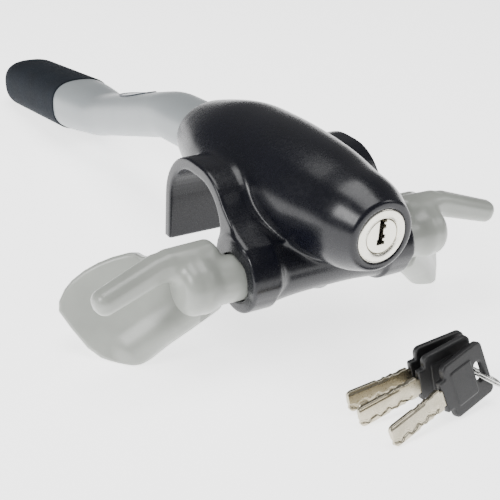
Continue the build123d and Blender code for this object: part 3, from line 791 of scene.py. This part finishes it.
@dataclass
class Claw:
    """One claw: a round root, a hub, a finger in front of the rim and a plate behind it."""

    side: Side
    root_x: float = 33.0
    root_end: float = 55.0
    root_radius: float = 9.45
    hub_x: tuple[float, float] = (50.5, 64.0)
    hub_radius: float = 11.0
    finger_half: tuple[float, float] = (5.5, 4.9)
    finger: tuple[tuple[float, float, float], ...] = ((46.5, 6.0, 9.6), (68.0, 6.0, 8.9), (96.5, 1.5, 0.9))
    corner: tuple[float, float, float] = (70.0, 25.5, 5.2)
    normal: tuple[float, float, float] = (0.624, -0.681, 0.384)
    thickness: float = 8.5
    outline: tuple[tuple[float, float], ...] = (
        (-2.2, 0.7), (0.4, -0.3), (3.3, 0.0), (9.5, 2.5), (15.0, 5.5), (20.4, 9.4), (25.2, 14.2),
        (27.6, 18.0), (29.4, 23.1), (29.0, 27.2), (23.3, 33.1), (15.4, 40.2), (9.4, 43.4),
        (2.3, 45.2), (-4.0, 44.9),
        (-7.2, 43.0), (-9.6, 40.6), (-15.5, 33.0), (-23.6, 25.9), (-31.4, 18.0), (-37.0, 5.0), (-13.5, 1.0),
    )
    bead: tuple[tuple[float, float], ...] = ((-3.0, 38.0), (-30.0, 13.5))
    bead_radius: float = 6.6
    shaft_radius: float = 5.0
    shaft_end: float = 56.3
    pin_x: float = 52.0
    pin_radius: float = 2.0
    grid: float = 0.6

    def limb(self, x: Array, y: Array, z: Array, a: Array, b: Array, half: tuple[float, float]) -> Array:
        """Distance to a square bar with rounded edges between two points, half wide at each end."""
        along = (b - a) / np.linalg.norm(b - a)
        side = np.cross((0, 0, 1), along)
        side /= np.linalg.norm(side)
        up = np.cross(along, side)
        length = float(np.linalg.norm(b - a))
        px, py, pz = x - a[0], y - a[1], z - a[2]
        run, out, rise = (px * v[0] + py * v[1] + pz * v[2] for v in (along, side, up))
        size = half[0] + (half[1] - half[0]) * np.clip(run / length, 0, 1)
        rounding = 4.2
        flat = box_distance(out, rise, size, size, rounding)
        ends = np.abs(run - length / 2) - length / 2
        a2, b2 = flat + rounding, ends + rounding - 1.5
        return np.minimum(np.maximum(a2, b2), 0) + np.hypot(np.maximum(a2, 0), np.maximum(b2, 0)) - rounding

    def shape(self, x: Array, y: Array, z: Array) -> Array:
        """Distance to the claw, in a frame with the shaft's middle at the origin and +X outwards."""
        from_shaft = np.hypot(y, z)
        root_ends = np.abs(x - (self.root_x + self.root_end) / 2) - (self.root_end - self.root_x) / 2
        root = extruded(from_shaft - self.root_radius, root_ends, 0.7)
        start, end = self.hub_x
        hub = extruded(from_shaft - self.hub_radius, np.abs(x - (start + end) / 2) - (end - start) / 2, 5.0)
        hub = soft_min(root, hub, 4.0)
        a, b, c = (np.array(p) for p in self.finger)
        wide, tip = self.finger_half
        finger = soft_min(self.limb(x, y, z, a, b, (wide, wide)), self.limb(x, y, z, b, c, (wide, tip)), 3.0)
        n = np.array(self.normal) / np.linalg.norm(self.normal)
        u_axis = np.array((0.737, 0.676, 0.0))
        u_axis = u_axis - n * (u_axis @ n)
        u_axis /= np.linalg.norm(u_axis)
        v_axis = np.array((0.259, -0.283, -0.923))
        v_axis = v_axis - n * (v_axis @ n) - u_axis * (v_axis @ u_axis)
        v_axis /= np.linalg.norm(v_axis)
        px, py, pz = (p - q for p, q in zip((x, y, z), self.corner))
        u, v, w = (px * e[0] + py * e[1] + pz * e[2] for e in (u_axis, v_axis, n))
        flat = outline_distance(u, v, self.outline)
        plate = extruded(flat, np.abs(w + self.thickness / 2) - self.thickness / 2, 1.8)
        (au, av), (bu, bv) = self.bead
        t = np.clip(((u - au) * (bu - au) + (v - av) * (bv - av)) / ((bu - au) ** 2 + (bv - av) ** 2), 0, 1)
        bead = np.sqrt((u - au - t * (bu - au)) ** 2 + (v - av - t * (bv - av)) ** 2 + (w + 5.3) ** 2)
        plate = soft_min(plate, bead - self.bead_radius, 4.0)
        body = soft_min(soft_min(hub, finger, 5.0), plate, 2.5)
        body = soft_max(body, PLAN.table_z - PLAN.pivot_z - z, 1.2)
        body = np.maximum(body, -np.maximum(from_shaft - self.shaft_radius, x - self.shaft_end))
        pin = np.hypot(x - self.pin_x, y) - self.pin_radius
        return np.maximum(body, -np.maximum(pin, z))

    def placed(self, x: Array, y: Array, z: Array) -> Array:
        """Distance with the claw in its place on the lock."""
        return self.shape(x * self.side.value, y - PLAN.pivot_y, z - PLAN.pivot_z)

    def build(self) -> bpy.types.Object:
        """Mesh and dress the claw."""
        name = self.side.name.lower()
        low, high = sorted((self.side.value * 31.0, self.side.value * 104.0))
        piece = skin(f"claw_{name}_cast", self.placed, (low, -50, -68), (high, 12, -11), self.grid)
        dress(piece, Finishes.SILVER_PAINT)
        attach(piece, "clamp")
        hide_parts(f"claw_{name}")
        return piece


# ------------------------------------------------------------------ lock
@dataclass
class Lock:
    """What shows of the cylinder: its flanged body and the core with the keyway."""

    face_radius: float = 10.95
    body_radius: float = 10.35
    flange: float = 2.4
    core_radius: float = 6.94
    grid: float = 0.24
    length: float = 30.0
    keyway: tuple[tuple[float, float], ...] = (
        (-1.6, 7.6), (-1.6, -1.0), (-2.1, -1.2), (-2.1, -3.3), (1.5, -3.3), (1.5, -2.2), (0.6, -1.9),
        (0.6, -0.9), (1.5, -0.6), (1.5, 0.4), (0.6, 0.7), (0.6, 3.2), (1.6, 3.5), (1.6, 4.6), (0.7, 4.9),
        (0.7, 5.7), (1.7, 6.0), (1.7, 7.6),
    )

    def body(self) -> bpy.types.Object:
        """Turn the flanged body."""
        y, r = PLAN.nose_y, self.face_radius
        profile = [
            (7.22, y + 0.3), (7.42, y + 0.02), (r - 0.7, y), (r - 0.25, y + 0.1), (r, y + 0.45),
            (r, y + self.flange), (self.body_radius, y + self.flange),
            (self.body_radius, y + self.length), (7.22, y + self.length),
        ]
        piece = revolved("cylinder_flange", profile)
        dress(piece, Finishes.NICKEL_TURNED)
        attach(piece, "housing")
        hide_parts("cylinder_body")
        return piece

    def core_shape(self, x: Array, y: Array, z: Array) -> Array:
        """Distance to the core."""
        up = z - PLAN.lock_z
        near, far = PLAN.nose_y + 0.2, PLAN.nose_y + self.length + 1.5
        ends = np.abs(y - (near + far) / 2) - (far - near) / 2
        core = extruded(np.hypot(x, up) - self.core_radius, ends, 0.3)
        slot = np.maximum(outline_distance(x, up, self.keyway), y - (PLAN.nose_y + self.length - 3))
        return np.maximum(core, -slot)

    def core(self) -> bpy.types.Object:
        """Mesh the core with its keyway."""
        y = PLAN.nose_y
        far_corner = (7.6, y + self.length + 2, 4.8)
        piece = skin("lock_core", self.core_shape, (-7.6, y - 0.4, -10.6), far_corner, self.grid)
        dress(piece, Finishes.NICKEL_TURNED)
        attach(piece, "core")
        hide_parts("core_plug")
        return piece

    def build(self) -> list[bpy.types.Object]:
        """Make both pieces."""
        return [self.body(), self.core()]


# ------------------------------------------------------------------ keys and their ring
@dataclass
class Key:
    """One key: a milled blank in a moulded head.

    Attributes:
        number: which key, from 1.
        place: middle of the head's edge where the blade comes out.
        out: direction of the blade.
        face: direction square to the key's faces.
    """

    number: int
    place: tuple[float, float, float]
    out: tuple[float, float, float]
    face: tuple[float, float, float]
    blade_length: float = 30.5
    blade_width: float = 8.4
    blade_thickness: float = 2.0
    neck: float = 4.0
    notches: tuple[tuple[float, float], ...] = ((8.9, 0.45), (12.5, 0.3), (16.1, 0.5))
    track: tuple[float, float, float] = (-2.1, 0.65, 0.85)
    head: tuple[float, float, float] = (22.2, 22.4, 2.8)
    head_corner: float = 2.6
    collar: tuple[float, float] = (3.0, 13.0)
    hole: tuple[float, float, float] = (5.0, 8.0, 4.4)

    def blade_shape(self, x: Array, y: Array, z: Array) -> Array:
        """Distance to the blade, in the key's own frame."""
        half = self.blade_width / 2
        edge = half - np.where(x < self.neck, 1.0, 0.0) * np.clip((self.neck + 0.6 - x) / 0.6, 0, 1)
        flat = soft_max(np.abs(y) - edge, x - self.blade_length, 0.3)
        flat = soft_max(flat, (x - self.blade_length) * 0.6 + (np.abs(y) - half + 0.9) * 0.8, 0.5)
        for at, depth in self.notches:
            bite = (half - depth - np.abs(y)) * 0.84 + np.maximum(np.abs(x - at) - 0.9, 0) * 0.54
            flat = soft_max(flat, -bite, 0.25)
        flat = np.maximum(flat, -12.0 - x)
        middle, swing, reach = self.track
        phase = 2 * math.pi * (x - self.neck) / 6.2
        wave = middle + swing * (np.sin(phase) + 0.35 * np.sin(2.3 * phase + 1.1))
        track = np.clip((reach - np.abs(y - wave)) / 0.3, 0, 1) * np.clip((x - self.neck - 2.5) / 0.6, 0, 1)
        step = np.clip((y - half + 1.3) / 0.3, 0, 1) * np.clip((x - self.neck - 8.0) / 0.5, 0, 1)
        return extruded(flat, np.abs(z) - self.blade_thickness / 2 + 0.5 * track + 0.25 * step, 0.2)

    def head_shape(self, x: Array, y: Array, z: Array) -> Array:
        """Distance to the head, in the key's own frame."""
        length, width, thick = self.head
        flat = box_distance(x + length / 2, y, length / 2, width / 2, self.head_corner)
        flat = soft_min(flat, box_distance(x, y, self.collar[0], self.collar[1] / 2, 0.8), 0.8)
        inset, long, wide = self.hole
        hole = np.hypot(x + length - inset, np.maximum(np.abs(y) - (long - wide) / 2, 0)) - wide / 2
        flat = soft_max(flat, -hole, 0.4)
        body = extruded(flat, np.abs(z) - thick / 2, 0.75)
        panel = box_distance(x + length / 2 - 2.6, y, length * 0.25, width * 0.31, 1.0)
        body = soft_min(body, extruded(soft_max(panel, -hole, 0.3), np.abs(z) - thick / 2 - 0.3, 0.25), 0.3)
        tang = np.maximum(np.maximum(np.abs(y) - self.blade_width / 2 + 0.95, np.abs(z) - 0.98), -12.1 - x)
        return np.maximum(body, -tang)

    def frame(self) -> Matrix:
        """Matrix from the key's own frame, in metres, to its place."""
        out, face = Vector(self.out).normalized(), Vector(self.face)
        face = (face - out * face.dot(out)).normalized()
        side = face.cross(out)
        return Matrix([[out[i], side[i], face[i], self.place[i] * MM] for i in range(3)] + [[0, 0, 0, 1]])

    def build(self) -> list[bpy.types.Object]:
        """Mesh, place and dress the blade and the head."""
        blade = skin(f"key_blank_{self.number}", self.blade_shape, (-13, -5, -1.6), (31.5, 5, 1.6), 0.26)
        head = skin(f"key_bow_{self.number}", self.head_shape, (-23, -12, -2.4), (4, 12, 2.4), 0.3)
        for piece, finish, node, slot in (
            (blade, Finishes.KEY_METAL, "key_blade", "nickel_brass"),
            (head, Finishes.NYLON, "key_head", "key_plastic"),
        ):
            piece.data.transform(self.frame())
            dress(piece, finish)
            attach(piece, f"key_{self.number}")
            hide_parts(f"{node}_{self.number}")
        return [blade, head]


@dataclass
class SplitRing:
    """Two close coils of spring wire."""

    centre: tuple[float, float, float] = (34.955, -100.038, -58.18)
    reach: tuple[float, float, float] = (0.8344, -0.0698, -0.5467)
    normal: tuple[float, float, float] = (0.5511, 0.1057, 0.8277)
    radius: float = 11.43
    wire: float = 0.5
    turns: float = 1.93

    def build(self) -> bpy.types.Object:
        """Sweep the wire round its coil."""
        n = Vector(self.normal).normalized()
        a = Vector(self.reach)
        a = (a - n * a.dot(n)).normalized()
        b = n.cross(a)
        rings = []
        for share in np.linspace(0, 1, 240):
            turn = 2 * math.pi * self.turns * share
            out = a * math.cos(turn) + b * math.sin(turn)
            # The two coils lie flat on each other and step across in a short crank
            step = min(max((share * self.turns - 0.9) / 0.13, 0), 1)
            rise = (step * step * (3 - 2 * step) - 0.5) * 2.08 * self.wire
            size = self.wire * min(1.0, 0.35 + 12 * min(share, 1 - share))
            middle = Vector(self.centre) + out * self.radius + n * rise
            rings.append(np.array([middle + (out * math.cos(t) + n * math.sin(t)) * size
                                   for t in np.linspace(0, 2 * math.pi, 14, endpoint=False)]))
        piece = lofted("key_ring_coil", rings)
        dress(piece, Finishes.WIRE)
        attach(piece, "key_ring")
        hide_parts("split_ring")
        return piece


# ------------------------------------------------------------------ camera and light
@dataclass
class Studio:
    """Camera, floor and soft light."""

    azimuth: float = -32.91
    elevation: float = 26.94
    roll: float = 3.24
    lens: float = 73.06
    place: tuple[float, float, float] = (-224.54, -330.77, 160.34)
    floor_glow: float = 2.2
    sky: float = 0.22

    def camera(self) -> None:
        """Create the camera."""
        a, e, k = (math.radians(v) for v in (self.azimuth, self.elevation, self.roll))
        back = Vector((math.sin(a) * math.cos(e), -math.cos(a) * math.cos(e), math.sin(e)))
        right = Vector((math.cos(a), math.sin(a), 0))
        up = back.cross(right)
        turned = right * math.cos(k) + up * math.sin(k)
        upright = up * math.cos(k) - right * math.sin(k)
        data = bpy.data.cameras.new("camera")
        data.lens, data.sensor_width, data.clip_start = self.lens, 36, 0.01
        camera = bpy.data.objects.new("camera", data)
        camera.matrix_world = Matrix(
            [[turned[i], upright[i], back[i], self.place[i] * MM] for i in range(3)] + [[0, 0, 0, 1]]
        )
        bpy.context.scene.collection.objects.link(camera)
        bpy.context.scene.camera = camera

    def floor(self) -> None:
        """Lay a pale floor under the lock."""
        size = 4000.0
        z = PLAN.table_z
        piece = mesh_piece("floor", [(-size, -size, z), (size, -size, z), (size, size, z), (-size, size, z)],
                           [(0, 1, 2, 3)])
        material = Finish("floor_paper", "ffffff", "fdfdfd", roughness=0.9, grain_mm=2, relief_mm=0.0).make()
        shader = next(n for n in material.node_tree.nodes if n.type == "BSDF_PRINCIPLED")
        shader.inputs["Emission Color"].default_value = (1, 1, 1, 1)
        shader.inputs["Emission Strength"].default_value = self.floor_glow
        piece.data.materials.append(material)

    def lights(self) -> None:
        """Hang soft boxes over and beside the lock."""
        world = bpy.data.worlds.new("studio")
        world.use_nodes = True
        world.node_tree.nodes["Background"].inputs["Color"].default_value = (1, 1, 1, 1)
        world.node_tree.nodes["Background"].inputs["Strength"].default_value = self.sky
        bpy.context.scene.world = world
        for name, place, size, power in (
            ("top", (0.0, 0.15, 1.1), 0.8, 11.0),
            ("left", (-0.9, -0.1, 0.6), 0.45, 9.0),
            ("right", (0.8, -0.5, 0.7), 0.4, 2.5),
        ):
            data = bpy.data.lights.new(name, "AREA")
            data.size, data.energy = size, power
            lamp = bpy.data.objects.new(name, data)
            lamp.location = place
            lamp.rotation_euler = (-Vector(place)).to_track_quat("-Z", "Y").to_euler()
            bpy.context.scene.collection.objects.link(lamp)

    def build(self) -> None:
        """Set everything up."""
        self.camera()
        self.floor()
        self.lights()


KEYS = (
    Key(1, (8.8, -92.4, -54.909), (-0.980, 0.098, -0.173), (0.128, 0.976, -0.175)),
    Key(2, (7.9, -98.2, -54.859), (-0.974, 0.0175, -0.224), (0.041, 0.994, -0.106)),
    Key(3, (10.8, -107.9, -55.175), (-0.964, -0.162, -0.213), (-0.083, 0.937, -0.341)),
)
NODE_FINISH: dict[str, Finishes] = {
    "bronze": Finishes.BRONZE,
    "steel": Finishes.STEEL,
    "silver_paint": Finishes.SILVER_PAINT,
    "lock_face": Finishes.NICKEL_TURNED,
    "brass": Finishes.BRASS,
    "foam": Finishes.FOAM,
    "badge": Finishes.BADGE_GREY,
    "grey_enamel": Finishes.POWDER_GREY,
    "gloss_coat": Finishes.ENAMEL_BLACK,
    "nickel_brass": Finishes.KEY_METAL,
    "key_plastic": Finishes.NYLON,
    "chromed_wire": Finishes.WIRE,
}


def dress_nodes(frame: dict[str, Any]) -> None:
    """Give each CAD node its finish."""
    for part in frame["record"]["subparts"]:
        dress(frame["nodes"][part["node"]], NODE_FINISH[part["material_slot"]])


def main() -> None:
    """Build the lock round its frame."""
    logging.basicConfig(level=logging.INFO, format="%(message)s")
    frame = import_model()
    dress_nodes(frame)
    Studio().build()
    pieces: list[bpy.types.Object] = [Casting().build(), Claw(Side.LEFT).build(), Claw(Side.RIGHT).build()]
    pieces += Handle().build() + Lock().build() + [SplitRing().build()]
    for key in KEYS:
        pieces += key.build()
    for piece in pieces:
        LOG.info("built %s with %d faces", piece.name, len(piece.data.polygons))


if __name__ == "__main__":
    main()
